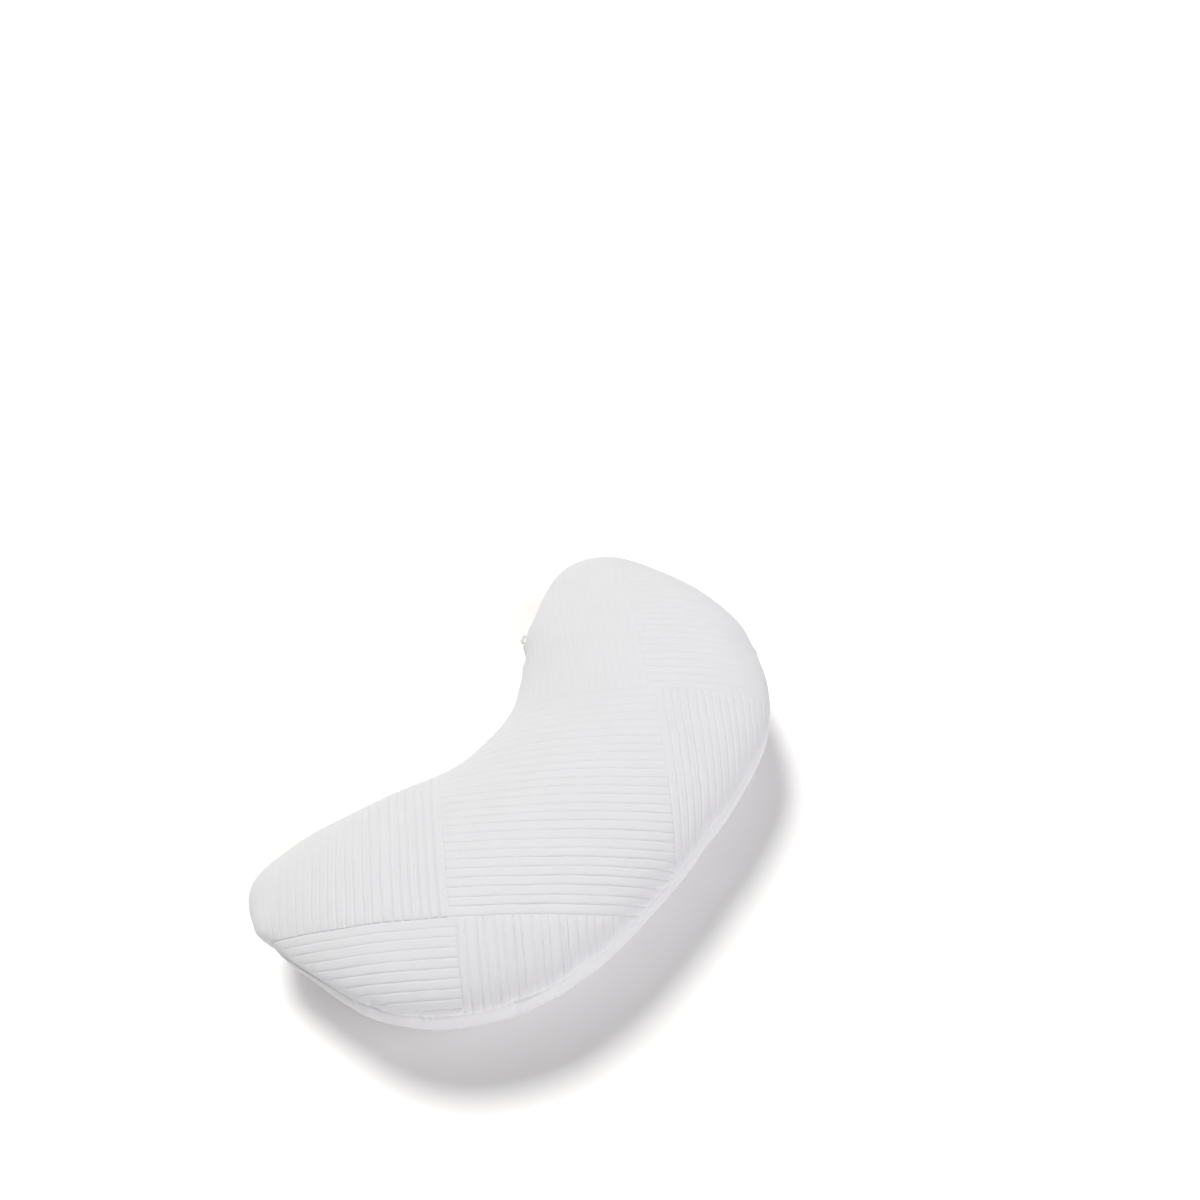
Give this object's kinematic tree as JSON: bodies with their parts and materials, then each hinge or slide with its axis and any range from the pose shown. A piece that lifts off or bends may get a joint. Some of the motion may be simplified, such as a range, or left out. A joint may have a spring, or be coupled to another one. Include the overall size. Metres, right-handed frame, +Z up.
{
  "type": "body pillow",
  "caption": "Crescent-shaped stuffed body pillow in a white ribbed knit cover with a sewn edge seam and a small zip pull; lies flat and curves round a body.",
  "frame": {"origin": "centre of the bounding box on the surface that the pillow lies on", "axes": "+X along the long side towards the wider arm, +Y towards the hollow of the crescent, +Z up"},
  "size_m": [0.6804, 0.3814, 0.1537],
  "materials": {
    "ribbed_knit": "matt raised rib knit",
    "zip_metal": "satin"
  },
  "bodies": {
    "root": {"pillow": "ribbed_knit", "zip_slider": "zip_metal", "zip_tab": "zip_metal"}
  },
  "joints": []
}
